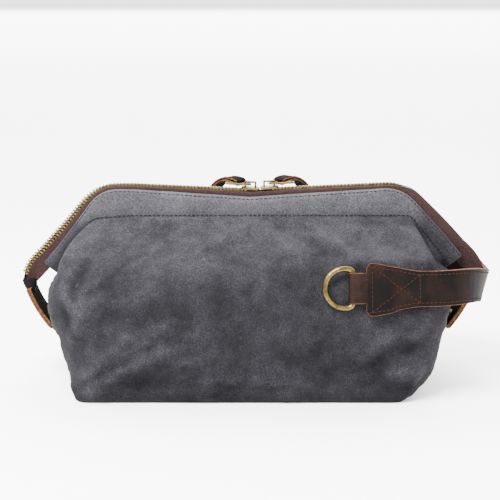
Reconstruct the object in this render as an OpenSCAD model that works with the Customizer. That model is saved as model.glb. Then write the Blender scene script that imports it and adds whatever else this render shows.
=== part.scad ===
// Zip-top shaving kit bag of waxed canvas and leather, with a framed mouth that opens.
// Origin: centre of the base on the floor. +X right, -Y front, +Z up. Millimetres.

/* [Body] */
// Half width of the canvas body at its widest
body_half_w = 141; // [138:0.5:142]
// Half width of the base
base_half_w = 113; // [106:0.5:116]
// Half depth of the canvas body at its deepest
body_half_d = 66; // [63:0.5:66.5]
// Thickness of the canvas
canvas_t = 1.6; // [1.2:0.1:2]
// Height of the line where the walls stop being fixed and start to follow the mouth
shoulder_z = 80; // [79:0.5:81]

/* [Mouth] */
// Height of the zip chain at the middle of the mouth
chain_mid_z = 138.2; // [138:0.1:138.6]
// Height of the hem's top edge at the middle of the mouth
hem_mid_z = 135; // [134:0.1:135.5]
// Height of the stitched lower edge of the hem
hem_low_z = 123.5; // [121:0.5:125]
// Half distance between the two tips of a hem
tip_half_w = 150; // [148:0.5:150]
// Thickness of a hem, wire channel included
hem_t = 6.8; // [6.4:0.1:7]
// Diameter of the wire inside a hem
wire_d = 3; // [2.5:0.1:3.2]

/* [Zip sliders] */
// Where the two sliders meet along the mouth
meet_x = 7; // [-8:0.5:8]
// Length of a slider's body
slider_l = 13; // [12:0.5:14]
// Width of the leather pull
pull_w = 10.4; // [8:0.1:10.6]
// Length of the leather pull
pull_l = 32; // [24:1:36]

/* [Handle] */
// Width of the handle strap
strap_w = 24; // [22:0.5:25]
// Width of the handle's flared sewn end
flare_w = 36; // [32:0.5:38]
// Thickness of one layer of handle leather
strap_t = 1.8; // [1.5:0.1:2]

/* [D-ring] */
// Diameter of the D-ring's wire
dring_wire_d = 3.9; // [3.5:0.1:4.2]
// Inner width of the D-ring
dring_inner_w = 22.4; // [22:0.2:24]
// Radial clearance between the D-ring's bar and its leather loop
dring_gap = 0.1; // [0.05:0.01:0.1]

/* [End tabs] */
// Width of the leather end tabs
tab_w = 24; // [20:0.5:25]
// Thickness of one layer of tab leather
tab_t = 1.3; // [1.1:0.1:1.4]

/* [Hidden] */

CANVAS = [0.30, 0.30, 0.33];
CANVAS_HEM = [0.36, 0.36, 0.39];
LINING = [0.12, 0.12, 0.13];
TAPE = [0.25, 0.15, 0.14];
BRASS = [0.56, 0.44, 0.25];
STEEL = [0.55, 0.55, 0.57];
CAP = [0.08, 0.08, 0.08];
LEATHER = [0.22, 0.15, 0.12];
LEATHER_BACK = [0.45, 0.28, 0.15];

// Body sections from the base upwards: [height, half width, half depth, corner radius].
// The table's widths and depths are factors of the driving sizes.
sections = [
    [0.4, base_half_w / body_half_w, 0.88, 22],
    [5, 0.83, 0.915, 26],
    [18, 0.885, 0.965, 32],
    [36, 0.95, 0.995, 38],
    [50, 0.988, 1, 40],
    [62, 1, 0.985, 40],
    [72, 0.99, 0.95, 39],
    [shoulder_z, 0.97, 0.915, 38]
];
seam_f = 0.80;      // place of the corner seams, as a fraction of the half outline
front_steps = 28;   // facets across a front or rear wall
gusset_steps = 10;  // facets across an end wall

// ---------- general functions ----------
function mix(a, b, k) = a + (b - a) * k;
function bezier(a, c, b, k) = mix(mix(a, c, k), mix(c, b, k), k);
function smooth(k) = let (c = min(1, max(0, k))) c * c * (3 - 2 * c);
function steps(n) = [for (i = [0 : n]) i / n];
function flip_x(points) = [for (p = points) [-p[0], p[1]]];
function backwards(list) = [for (i = [len(list) - 1 : -1 : 0]) list[i]];
// A path symmetrical about X = 0, from its right half, whose first point is on the axis
function both_sides(right) = concat(backwards(flip_x([for (i = [1 : len(right) - 1]) right[i]])), right);

// Point of the front half of a rounded outline: f runs from -1, left, to 1, right
function outline(f, half_w, half_d, r) =
    let (
        straight = half_w - r,
        bend = PI * r / 2,
        d = abs(f) * (straight + bend + half_d - r),
        side = f < 0 ? -1 : 1,
        a = (d - straight) / r * 180 / PI
    )
    d <= straight ? [side * d, -half_d]
    : d <= straight + bend ? [side * (straight + r * sin(a)), -(half_d - r + r * cos(a))]
    : [side * half_w, -(half_d - r - (d - straight - bend))];

function section_point(s, f, inset) =
    let (p = outline(f, s[1] * body_half_w - inset, s[2] * body_half_d - inset, s[3] - inset))
    [p[0], p[1], s[0]];

// Point of the fixed body's top edge, which dips at each end under the tips of the hems
dip = 0.85;         // depth of the dip, as a fraction of the topmost band
dip_half_d = 14;    // half width of its flat bottom
dip_fade = 12;      // width over which it rises to the full height
function rim_point(f, inset) =
    let (
        last = len(sections) - 1,
        p = section_point(sections[last], f, inset),
        k = dip * smooth((dip_half_d + dip_fade - abs(p[1])) / dip_fade)
    )
    mix(p, section_point(sections[last - 1], f, inset), k);
function body_point(i, f, inset) =
    i == len(sections) - 1 ? rim_point(f, inset) : section_point(sections[i], f, inset);

// ---------- general solids ----------
// A sheet between two grids of points of the same size
module sheet(outer, inner) {
    rows = len(outer);
    cols = len(outer[0]);
    half = rows * cols;
    points = concat([for (r = outer) each r], [for (r = inner) each r]);
    function at(i, j) = i * cols + j;
    top = [for (i = [0 : rows - 2], j = [0 : cols - 2])
        each [[at(i, j), at(i + 1, j), at(i + 1, j + 1)], [at(i, j), at(i + 1, j + 1), at(i, j + 1)]]];
    under = [for (t = top) [half + t[0], half + t[2], half + t[1]]];
    rim = concat(
        [for (j = [0 : cols - 1]) at(0, j)],
        [for (i = [1 : rows - 1]) at(i, cols - 1)],
        [for (j = [cols - 2 : -1 : 0]) at(rows - 1, j)],
        [for (i = [rows - 2 : -1 : 1]) at(i, 0)]
    );
    n = len(rim);
    edge = [for (k = [0 : n - 1])
        let (a = rim[k], b = rim[(k + 1) % n])
        each [[a, b, half + b], [a, half + b, half + a]]];
    polyhedron(points = points, faces = concat(top, under, edge));
}

// A solid swept through closed rings of points, each end closed by a fan about its centre
module loft(rings) {
    n = len(rings[0]);
    last = len(rings) - 1;
    count = n * (last + 1);
    function centre(ring) = [for (axis = [0 : 2]) [for (p = ring) p[axis]] * [for (p = ring) 1] / n];
    sides = [for (i = [0 : last - 1], j = [0 : n - 1])
        let (a = i * n + j, b = i * n + (j + 1) % n)
        each [[a, b, b + n], [a, b + n, a + n]]];
    start = [for (j = [0 : n - 1]) [(j + 1) % n, j, count]];
    end = [for (j = [0 : n - 1]) [last * n + j, last * n + (j + 1) % n, count + 1]];
    points = concat([for (r = rings) each r], [centre(rings[0]), centre(rings[last])]);
    polyhedron(points = points, faces = concat(sides, start, end));
}

module rear() { mirror([0, 1, 0]) children(); }
module left() { mirror([1, 0, 0]) children(); }

// ---------- canvas body ----------
// Wall between two fractions of the half outline, with the whole height of the fixed body
module wall(f0, f1, n) {
    function grid(inset) =
        [for (s = sections) [for (k = steps(n)) section_point(s, mix(f0, f1, k), inset)]];
    sheet(grid(0), grid(canvas_t));
}

module front_panel() { color(CANVAS) wall(-seam_f, seam_f, front_steps); }
module rear_panel() { color(CANVAS) rear() front_panel(); }

// Whole end wall: its rear half repeats the front half with the depth turned round
module right_gusset() {
    function half_row(i, inset, side) = [for (k = steps(gusset_steps))
        let (p = body_point(i, mix(seam_f, 1, k), inset)) [p[0], side * p[1], p[2]]];
    function row(i, inset) =
        let (rear_half = backwards(half_row(i, inset, -1)))
        concat(half_row(i, inset, 1), [for (j = [1 : gusset_steps]) rear_half[j]]);
    rows = [0 : len(sections) - 1];
    color(CANVAS) sheet([for (i = rows) row(i, 0)], [for (i = rows) row(i, canvas_t)]);
}
module left_gusset() { left() right_gusset(); }

base_inset = canvas_t + 0.2;
// Closed row of points round the whole body at section i
function full_row(i, inset, n) = concat(
    [for (k = steps(n)) body_point(i, mix(-1, 1, k), inset)],
    [for (j = [1 : n - 1]) let (p = body_point(i, mix(1, -1, j / n), inset)) [p[0], -p[1], p[2]]]
);
module base_panel() {
    color(CANVAS)
        linear_extrude(canvas_t)
            polygon([for (p = full_row(0, base_inset, 40)) [p[0], p[1]]]);
}

lining_t = 0.6;
lining_gap = 0.8;
lining_floor_inset = 1.2;
lining_steps = 28;
module lining() {
    outside = canvas_t + lining_gap;
    inside = outside + lining_t;
    last = len(sections) - 1;
    function floor_row(inset, z) =
        [for (p = full_row(0, inset + lining_floor_inset, lining_steps)) [p[0], p[1], z]];
    color(LINING)
        loft(concat(
            [floor_row(outside, outside - 0.5)],
            [for (i = [1 : last]) full_row(i, outside, lining_steps)],
            [for (i = [last : -1 : 1]) full_row(i, inside, lining_steps)],
            [floor_row(inside, inside - 0.5)]
        ));
}

// ---------- mouth ----------
corner_x = 107.5;                                 // sharp corner of the hem's top edge
corner_z = hem_mid_z + 7;
arm_cut = 14;                                     // length taken up by the rounded corner
tip_z = 91;                                       // top edge of the hem at its tip
low_corner_x = 105;
low_tip = [tip_half_w - 9.6, tip_z - 8.4];
run_steps = 5;
corner_steps = 5;
arm_steps = 5;

// Right half of a path: a run from the middle, a rounded corner and an arm to the tip
function run_and_arm(mid, corner, tip, cut) =
    let (
        into = corner + (mid - corner) * cut / norm(mid - corner),
        out = corner + (tip - corner) * cut / norm(tip - corner)
    )
    concat(
        [for (k = [0 : run_steps - 1]) mix(mid, into, k / run_steps)],
        [for (k = steps(corner_steps)) bezier(into, corner, out, k)],
        [for (k = [1 : arm_steps]) mix(out, tip, k / arm_steps)]
    );

hem_top = both_sides(run_and_arm([0, hem_mid_z], [corner_x, corner_z], [tip_half_w, tip_z], arm_cut));
hem_low = both_sides(run_and_arm([0, hem_low_z], [low_corner_x, hem_low_z], low_tip, arm_cut / 2));

// Distance of a hem's middle plane from the plane of the zip
function hem_y(z) = 4.6 + 0.075 * (z - shoulder_z);

// Point of the front hem: h from its lower edge towards its top edge, b across its thickness
function hem_point(i, h, b) =
    let (
        low = hem_low[i],
        along = (hem_top[i] - low) / norm(hem_top[i] - low),
        p = low + along * h
    )
    [p[0], -hem_y(p[1]) + b, p[1]];
function hem_height(i) = norm(hem_top[i] - hem_low[i]);

hem_wall = 1.2;
hem_fold = 1.6;                                   // thickness of the fold over the wire
module front_hem() {
    a = hem_t / 2;
    c = a - hem_wall;
    // Across the fold: up the front leg, over the wire and down the back leg
    function fold(i, half, drop, bevel) =
        let (h = hem_height(i) - drop)
        [for (p = [[0, -half], [h - bevel, -half], [h, -half + bevel],
                   [h, half - bevel], [h - bevel, half], [0, half]])
            hem_point(i, p[0], p[1])];
    stations = [0 : len(hem_top) - 1];
    color(CANVAS_HEM)
        sheet([for (i = stations) fold(i, a, 0, 1.5)], [for (i = stations) fold(i, c, hem_fold, 0.6)]);
}
module rear_hem() { rear() front_hem(); }

wire_sides = 10;
wire_depth = hem_fold + 0.3 + wire_d / 2 + 0.5;   // from the hem's top edge to the wire's centre
module front_frame_wire() {
    rings = [for (i = [1 : len(hem_top) - 2])
        [for (j = [0 : wire_sides - 1])
            let (a = -360 * j / wire_sides)
            hem_point(i, hem_height(i) - wire_depth + wire_d / 2 * cos(a), wire_d / 2 * sin(a))]];
    color(STEEL) loft(rings);
}
module rear_frame_wire() { rear() front_frame_wire(); }

// Rubber caps on the two ends of a wire
cap_l = 7;
module wire_cap() {
    last = len(hem_top) - 2;
    tip = hem_point(last, hem_height(last) - wire_depth, 0);
    before = hem_point(last - 1, hem_height(last - 1) - wire_depth, 0);
    dir = (tip - before) / norm(tip - before);
    lean = acos(dir[2]);
    turn = atan2(dir[1], dir[0]);
    translate(tip)
        rotate([0, lean, turn])
            difference() {
                translate([0, 0, -cap_l + 1.5])
                    cylinder(h = cap_l, r = wire_d / 2 + 0.6, $fn = 32);
                translate([0, 0, -cap_l])
                    cylinder(h = cap_l + 0.4, r = wire_d / 2 + 0.25, $fn = 32);
            }
}
module front_wire_caps() {
    color(CAP) wire_cap();
    color(CAP) left() wire_cap();
}
module rear_wire_caps() { rear() front_wire_caps(); }

// Zip: the chain's line, and the line where the tape is sewn inside the hem
chain_end = [161.8, 74.4];
function zip_path(mid, corner, knee, foot, foot_ctrl, cut) =
    let (
        into = corner + (mid - corner) * cut / norm(mid - corner),
        out = corner + (knee - corner) * cut / norm(knee - corner)
    )
    concat(
        [for (k = [0 : run_steps - 1]) mix(mid, into, k / run_steps)],
        [for (k = steps(corner_steps)) bezier(into, corner, out, k)],
        [for (k = [1 : 4]) mix(out, knee, k / 4)],
        [for (k = [1 : 4]) bezier(knee, foot_ctrl, foot, k / 4)]
    );
chain = both_sides(zip_path([0, chain_mid_z], [111, 143.4], [152, 98.5], chain_end, [163, 86], 15));
sewn = both_sides(zip_path([0, 130.5], [104.5, 136.5], [143.5, 90], [152, 75.4], [149.5, 83], 10));
function tape_y(z) = hem_y(max(z, shoulder_z)) - hem_t / 2 - 0.1;
// Unit direction from the chain towards the sewn line
function chain_down(i) = (sewn[i] - chain[i]) / norm(sewn[i] - chain[i]);

teeth_h = 2.2;
teeth_out = 1.9;
teeth_in = 0.12;

tape_t = 0.5;
module front_zip_tape() {
    // Four points across the half tape: beside the chain, at its fold, halfway and where it is sewn
    function row(i, back) =
        let (
            w = sewn[i],
            m = mix(chain[i], w, 0.5),
            c = chain[i] + chain_down(i) * (back - 0.5) * tape_t,
            fold_y = max(tape_y(chain[i][1]), teeth_out + tape_t + 0.2)
        )
        [[c[0], -teeth_out - 0.15, c[1]],
         [c[0], -fold_y + back * tape_t, c[1]],
         [m[0], -tape_y(m[1]) + back * tape_t, m[1]],
         [w[0], -tape_y(w[1]) + back * tape_t, w[1]]];
    grid = [for (i = [0 : len(chain) - 1]) row(i, 0)];
    inner = [for (i = [0 : len(chain) - 1]) row(i, 1)];
    color(TAPE) sheet(backwards(grid), backwards(inner));
}
module rear_zip_tape() { rear() front_zip_tape(); }

// Half chain of teeth: a strip on each side of the sliders
teeth_clear = slider_l - 3.5;
function chain_z(x) = chain_mid_z + (143.4 - chain_mid_z) * abs(x) / 111;
function teeth_ring(p, down) =
    let (a = p - down * teeth_h / 2, b = p + down * teeth_h / 2)
    [[b[0], -teeth_out, b[1]], [a[0], -teeth_out, a[1]], [a[0], -teeth_in, a[1]], [b[0], -teeth_in, b[1]]];
module front_zip_teeth() {
    right_start = meet_x + teeth_clear;
    left_start = meet_x - teeth_clear;
    first = teeth_ring([right_start, chain_z(right_start)], [0, -1]);
    last = teeth_ring([left_start, chain_z(left_start)], [0, -1]);
    function rings_between(x0, x1) = [for (i = [0 : len(chain) - 1])
        if (chain[i][0] > x0 && chain[i][0] < x1) teeth_ring(chain[i], chain_down(i))];
    color(BRASS) {
        loft(concat([first], rings_between(right_start + 1, body_half_w * 2)));
        loft(concat(rings_between(-body_half_w * 2, left_start - 1), [last]));
    }
}
module rear_zip_teeth() { rear() front_zip_teeth(); }

// Upper walls: from the fixed body's top edge to the lower edge of the hem
shoulder_rows = 7;
shoulder_full_z = 117;                            // height towards which the upper wall swells
shoulder_lean = 0.85;                             // leans back on the way: factor of its depth
module front_shoulder() {
    columns = len(hem_low) - 1;
    function point(i, k, inset) =
        let (
            f = -1 + 2 * i / columns,
            base = rim_point(f, inset) + [0, 0, 0.3],
            low = hem_low[i],
            under = low + (low - hem_top[i]) / norm(low - hem_top[i]) * 0.5,
            top = [under[0], -hem_y(under[1]) - hem_t / 2 + canvas_t + inset, under[1]],
            full = [base[0], base[1] * shoulder_lean, shoulder_full_z - inset - 4 * abs(f)]
        )
        bezier(base, mix((base + top) / 2, full, 1 - pow(abs(f), 6)), top, k);
    function grid(inset) = [for (k = steps(shoulder_rows)) [for (i = [0 : columns]) point(i, k, inset)]];
    color(CANVAS) sheet(grid(0), grid(canvas_t));
}
module rear_shoulder() { rear() front_shoulder(); }

// ---------- zip sliders ----------
plate_t = 1;
channel_h = 1.4;                                  // half height of the teeth's channel
lip_h = 1.0;
wide_half = 4.6;
narrow_half = 3.6;
bail_r = 0.7;
bail_half = 3.6;
ring_r = 0.7;
ring_bend = 3.2;                                  // radius of the ring's two ends
ring_straight = 11;
ring_z = channel_h + plate_t + ring_r + 1.4;
bail_z = ring_z + ring_r + bail_r + 0.15;
slider_tilt = atan2(143.4 - chain_mid_z, 111);

// Slider body with its wide end towards -X
module slider_body() {
    half = slider_l / 2;
    plate = [[-half, -wide_half + 1.2], [-half + 1.2, -wide_half], [0, -wide_half],
             [half - 1, -narrow_half], [half, -narrow_half + 1],
             [half, narrow_half - 1], [half - 1, narrow_half],
             [0, wide_half], [-half + 1.2, wide_half], [-half, wide_half - 1.2]];
    lips = [[-half + 1.2, wide_half], [0, wide_half], [half - 1, narrow_half],
            [half - 1, narrow_half - 0.9], [0, wide_half - 0.9], [-half + 1.2, wide_half - 0.9]];
    translate([0, 0, channel_h]) linear_extrude(plate_t) polygon(plate);
    translate([0, 0, -channel_h - plate_t]) linear_extrude(plate_t) polygon(plate);
    for (side = [0, 1], end = [0, 1])
        mirror([0, side, 0]) mirror([0, 0, end])
            translate([0, 0, lip_h]) linear_extrude(channel_h - lip_h + 0.2) polygon(lips);
    translate([-half + 1.8, 0, -channel_h - 0.2]) cylinder(h = 2 * channel_h + 0.4, r = 1.1, $fn = 32);
    // Fixed bail: an arch along the slider that the ring runs through
    for (x = [-bail_half, bail_half]) {
        translate([x, 0, channel_h + plate_t / 2])
            cylinder(h = bail_z - channel_h - plate_t / 2, r = bail_r, $fn = 24);
        translate([x, 0, bail_z]) sphere(r = bail_r, $fn = 24);
    }
    translate([-bail_half, 0, bail_z]) rotate([0, 90, 0]) cylinder(h = 2 * bail_half, r = bail_r, $fn = 24);
}

// Oval ring lying towards +X from the bail, which holds its near end
module pull_ring() {
    for (end = [0, 1])
        translate([ring_bend + end * ring_straight, 0, ring_z])
            rotate([0, 0, end == 0 ? 90 : -90])
                rotate_extrude(angle = 180, $fn = 48)
                    translate([ring_bend, 0]) circle(r = ring_r, $fn = 24);
    for (side = [-1, 1])
        translate([ring_bend, side * ring_bend, ring_z])
            rotate([0, 90, 0]) cylinder(h = ring_straight, r = ring_r, $fn = 24);
}

// Leather strip folded round the ring's rear side, both layers as one sewn strip
pull_drape = 12;
pull_layer = 1.1;
pull_bore = ring_r + 0.1;
module zip_pull() {
    outer_r = pull_bore + pull_layer;
    translate([ring_bend + ring_straight / 2, ring_bend, ring_z])
        rotate([-pull_drape, 0, 0])
            translate([-pull_w / 2, 0, 0])
                difference() {
                    union() {
                        rotate([0, 90, 0]) cylinder(h = pull_w, r = outer_r, $fn = 40);
                        translate([0, 0, -pull_layer]) cube([pull_w, pull_l - pull_w / 2, 2 * pull_layer]);
                        translate([pull_w / 2, pull_l - pull_w / 2, -pull_layer])
                            cylinder(h = 2 * pull_layer, r = pull_w / 2, $fn = 48);
                    }
                    translate([-1, 0, 0])
                        rotate([0, 90, 0])
                            cylinder(h = pull_w + 2, r = pull_bore, $fn = 32);
                }
}

// Places of the two sliders along the chain
right_slider_x = meet_x + slider_l / 2 + 0.3;
left_slider_x = meet_x - slider_l / 2 - 0.3;
module at_right_slider() {
    translate([right_slider_x, 0, chain_z(right_slider_x)]) rotate([0, -slider_tilt, 0]) children();
}
module at_left_slider() {
    translate([left_slider_x, 0, chain_z(left_slider_x)])
        rotate([0, slider_tilt, 0])
            mirror([1, 0, 0]) children();
}
module left_slider() { color(BRASS) at_left_slider() slider_body(); }
module right_slider() { color(BRASS) at_right_slider() slider_body(); }
module left_pull_ring() { color(BRASS) at_left_slider() pull_ring(); }
module right_pull_ring() { color(BRASS) at_right_slider() pull_ring(); }
module left_zip_pull() { color(LEATHER) at_left_slider() zip_pull(); }
module right_zip_pull() { color(LEATHER) at_right_slider() zip_pull(); }

// ---------- handle ----------
anchor_x = 78;                                    // free edge of the sewn end
anchor_end_x = 116;                               // where the strap leaves the wall
anchor_y = 65.2;                                  // distance of the sewn end from the middle, at its centre
anchor_lean = 14;                                 // how far the wall leans back there, in degrees
anchor_z = 82;
chape_end_x = 90;                                 // the front end rises over the D-ring's loop up to here
chape_lift = 2.4;
loop_x = 168;                                     // outer face of the strap at the end of its loop
bend_x = 150;                                     // where the strap starts to turn round the end
bend_y = 40;                                      // how far to the side it has finished turning
loop_z = 71;
loop_lean = 15;                                   // outward lean of the strap's top edge there
handle_steps = 40;
loop_end = 0.995;                                 // the two halves meet a hair's breadth apart

// Strap centre line of one half: s from 0, sewn end, to 1, outermost point
leave = 0.36;
function strap_plan(s, lift) =
    s < leave
    ? let (x = mix(anchor_x, anchor_end_x, s / leave))
      [x, -anchor_y - lift * (1 - smooth((x - chape_end_x) / 10))]
    : let (k = (s - leave) / (1 - leave))
      mix(bezier([anchor_end_x, -anchor_y], [bend_x, -anchor_y], [loop_x, -bend_y], k),
          bezier([bend_x, -anchor_y], [loop_x, -bend_y], [loop_x, 0], k), k);
function strap_centre(s, lift) =
    let (p = strap_plan(s, lift))
    [p[0], p[1], mix(loop_z, anchor_z, smooth(abs(p[1]) / anchor_y))];
function strap_half_w(s) = mix(flare_w, strap_w, smooth(s / leave)) / 2;
function strap_point(s, across, depth, lift) =
    let (
        p = strap_centre(s, lift),
        q = strap_plan(s + 0.004, lift),
        o = strap_plan(s - 0.004, lift),
        dir = (q - o) / norm(q - o),
        lean = mix(-anchor_lean, loop_lean, smooth((s - 0.3) / 0.7)),
        w = across * strap_half_w(s),
        inward = depth - sin(lean) * w
    )
    [p[0] - dir[1] * inward, p[1] + dir[0] * inward, p[2] + w * cos(lean)];
module strap_layer(from_depth, to_depth) {
    // Rows across the strap, from the front end to the middle of the loop
    function half_strap(depth, lift) =
        [for (k = steps(handle_steps)) [for (edge = [-1, 1]) strap_point(k * loop_end, edge, depth, lift)]];
    function whole(depth) = concat(
        half_strap(depth, chape_lift),
        backwards([for (r = half_strap(depth, 0)) [for (p = r) [p[0], -p[1], p[2]]]])
    );
    sheet(backwards(whole(from_depth)), backwards(whole(to_depth)));
}
module handle_outer() { color(LEATHER) strap_layer(0, strap_t); }
module handle_lining() { color(LEATHER_BACK) strap_layer(strap_t + 0.05, 2 * strap_t); }

// ---------- D-ring on its leather loop ----------
bar_r = dring_wire_d / 2;
dring_bend = dring_inner_w / 2 + bar_r;
dring_leg = 6;
chape_w = 20.6;
chape_layer = 1.3;
bar_x = 69.5;
bar_y = 64.2;
module on_front_wall() {
    translate([0, -bar_y, anchor_z]) rotate([-anchor_lean, 0, 0]) children();
}
module d_ring() {
    color(BRASS)
        on_front_wall()
            translate([bar_x, 0, 0]) {
                translate([0, 0, -dring_bend]) cylinder(h = 2 * dring_bend, r = bar_r, $fn = 40);
                for (side = [-1, 1]) {
                    translate([0, 0, side * dring_bend]) sphere(r = bar_r, $fn = 40);
                    translate([-dring_leg, 0, side * dring_bend])
                        rotate([0, 90, 0]) cylinder(h = dring_leg, r = bar_r, $fn = 40);
                }
                translate([-dring_leg, 0, 0])
                    rotate([90, 0, 0])
                        rotate([0, 0, 90])
                            rotate_extrude(angle = 180, $fn = 72)
                                translate([dring_bend, 0]) circle(r = bar_r, $fn = 40);
            }
}
module ring_chape() {
    bore_r = bar_r + dring_gap;
    color(LEATHER)
        on_front_wall()
            translate([bar_x, 0, -chape_w / 2])
                difference() {
                    union() {
                        cylinder(h = chape_w, r = bore_r + chape_layer, $fn = 48);
                        translate([0, 0.7, 0]) cube([20, 2 * chape_layer, chape_w]);
                    }
                    translate([0, 0, -1]) cylinder(h = chape_w + 2, r = bore_r, $fn = 40);
                }
}

// ---------- end tabs and press studs ----------
tab_top = [161.5, 72.5];
tab_bulge = [157, 55];
tab_low = [142.6, 37.6];
tab_steps = 12;
module tab_layer(from_depth, to_depth) {
    function centre(k) = bezier(tab_top, tab_bulge, tab_low, k);
    function point(k, side, depth) =
        let (
            p = centre(k),
            d = centre(k + 0.01) - centre(k - 0.01),
            n = [d[1], -d[0]] / norm(d),
            w = tab_w / 2 * (k < 0.8 ? 1 : sqrt(1 - 0.5 * pow((k - 0.8) / 0.2, 2)))
        )
        [p[0] + n[0] * depth, side * w, p[1] + n[1] * depth];
    function grid(depth) = [for (k = steps(tab_steps)) [for (side = [-1, 1]) point(k, side, depth)]];
    sheet(grid(from_depth), grid(to_depth));
}
module right_tab_outer() { color(LEATHER) tab_layer(0, tab_t); }
module right_tab_lining() { color(LEATHER_BACK) tab_layer(tab_t + 0.05, 2 * tab_t); }
module left_tab_outer() { left() right_tab_outer(); }
module left_tab_lining() { left() right_tab_lining(); }

// Press stud: its axis runs from the end wall out through the tab
stud_k = 0.80;                                    // place of the press stud along the tab
stud_at = bezier(tab_top, tab_bulge, tab_low, stud_k);
stud_dir = bezier(tab_top, tab_bulge, tab_low, stud_k + 0.01)
    - bezier(tab_top, tab_bulge, tab_low, stud_k - 0.01);
stud_turn = atan2(-stud_dir[1], -stud_dir[0]);    // turn from +X to the tab's own direction
module on_stud_axis() {
    translate([stud_at[0], 0, stud_at[1]]) rotate([0, 90 - stud_turn, 0]) rotate([0, 90, 0]) children();
}
cap_r = 5;
module right_snap_cap() {
    color(BRASS)
        on_stud_axis() {
            translate([0, 0, 0.05]) cylinder(h = 0.9, r = cap_r, $fn = 48);
            translate([0, 0, 0.95]) cylinder(h = 0.5, r1 = cap_r, r2 = cap_r - 1.4, $fn = 48);
        }
}
module right_snap_socket() {
    color(BRASS)
        on_stud_axis()
            translate([0, 0, -2 * tab_t - 1.75])
                difference() {
                    cylinder(h = 1.6, r = 4.4, $fn = 48);
                    translate([0, 0, -1]) cylinder(h = 2.2, r = 2.1, $fn = 40);
                }
}
stud_flange = -9.9;                               // face of the end wall along the stud's axis
stud_through = 6.0;                               // end wall and lining, on the slant
module right_snap_stud() {
    neck = -2 * tab_t - 1.75 - 0.3 - stud_flange;
    color(BRASS)
        on_stud_axis()
            translate([0, 0, stud_flange]) {
                translate([0, 0, -stud_through - 0.5]) cylinder(h = stud_through + 1, r = 1.4, $fn = 32);
                cylinder(h = 1.2, r = 4.2, $fn = 48);
                cylinder(h = neck, r = 2.8, $fn = 40);
                cylinder(h = neck + 1.5, r = 1.95, $fn = 40);
            }
}
module right_snap_back() {
    color(BRASS)
        on_stud_axis()
            translate([0, 0, stud_flange - stud_through - 1.5])
                cylinder(h = 1, r = 4.2, $fn = 48);
}
module left_snap_cap() { left() right_snap_cap(); }
module left_snap_socket() { left() right_snap_socket(); }
module left_snap_stud() { left() right_snap_stud(); }
module left_snap_back() { left() right_snap_back(); }

front_panel();
rear_panel();
base_panel();
left_gusset();
right_gusset();
lining();
front_shoulder();
rear_shoulder();
front_frame_wire();
rear_frame_wire();
front_wire_caps();
rear_wire_caps();
front_hem();
rear_hem();
front_zip_tape();
rear_zip_tape();
front_zip_teeth();
rear_zip_teeth();
left_slider();
right_slider();
left_pull_ring();
right_pull_ring();
left_zip_pull();
right_zip_pull();
handle_outer();
handle_lining();
ring_chape();
d_ring();
left_tab_outer();
left_tab_lining();
right_tab_outer();
right_tab_lining();
left_snap_cap();
left_snap_socket();
left_snap_stud();
left_snap_back();
right_snap_cap();
right_snap_socket();
right_snap_stud();
right_snap_back();
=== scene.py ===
import math

import bpy
import numpy as np
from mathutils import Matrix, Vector, noise


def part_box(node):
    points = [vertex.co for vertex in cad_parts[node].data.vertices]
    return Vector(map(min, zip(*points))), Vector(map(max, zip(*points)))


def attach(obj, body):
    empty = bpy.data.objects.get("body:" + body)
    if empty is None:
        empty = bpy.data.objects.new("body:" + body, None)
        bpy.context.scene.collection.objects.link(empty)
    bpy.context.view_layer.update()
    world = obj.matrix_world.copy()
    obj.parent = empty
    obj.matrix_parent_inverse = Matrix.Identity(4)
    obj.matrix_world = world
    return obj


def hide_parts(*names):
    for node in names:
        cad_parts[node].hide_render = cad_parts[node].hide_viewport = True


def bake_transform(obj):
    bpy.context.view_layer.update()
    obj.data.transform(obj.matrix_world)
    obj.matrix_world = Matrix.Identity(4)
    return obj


# Shaving kit bag: the looks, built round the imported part. +X right, -Y front, +Z up.
# The shapes are worked out in millimetres and become metres when a mesh is made.
MM = 0.001
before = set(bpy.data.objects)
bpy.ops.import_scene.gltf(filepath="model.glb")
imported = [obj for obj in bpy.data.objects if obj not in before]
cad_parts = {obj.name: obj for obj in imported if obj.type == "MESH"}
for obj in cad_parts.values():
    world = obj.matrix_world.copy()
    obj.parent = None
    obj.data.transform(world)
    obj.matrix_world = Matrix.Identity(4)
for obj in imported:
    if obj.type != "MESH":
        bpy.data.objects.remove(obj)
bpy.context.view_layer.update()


def box_mm(node):
    low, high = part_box(node)
    return np.array(low) / MM, np.array(high) / MM


# ---------- places taken from the part ----------
WALL_LOW, WALL_HIGH = box_mm("front_panel")
TIP_X = box_mm("front_hem")[1][0]
HALF_D = -WALL_LOW[1]
SHOULDER_Z = WALL_HIGH[2]
SLIDER_OVERLAP = 4.0        # how far the rows of teeth run into the sliders
TEETH_GAP = (box_mm("left_slider")[0][0] + SLIDER_OVERLAP, box_mm("right_slider")[1][0] - SLIDER_OVERLAP)


# ---------- small maths ----------
def vec(*values):
    return np.array(values)


def mix(a, b, k):
    return a + (b - a) * k


def bezier(a, c, b, k):
    return mix(mix(a, c, k), mix(c, b, k), k)


def smooth(k):
    k = np.clip(k, 0, 1)
    return k * k * (3 - 2 * k)


def unit(v):
    return v / max(np.linalg.norm(v), 1e-9)


def fractal(x, y, z, scale, octaves=3):
    return noise.fractal(Vector((x / scale, y / scale, z / scale)), 0.6, 2.1, octaves)


# ---------- materials ----------
def new_material(name):
    material = bpy.data.materials.new(name)
    material.use_nodes = True
    tree = material.node_tree
    return material, tree, tree.nodes["Principled BSDF"]


def set_inputs(node, values):
    for name, value in values.items():
        node.inputs[name].default_value = value


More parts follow.
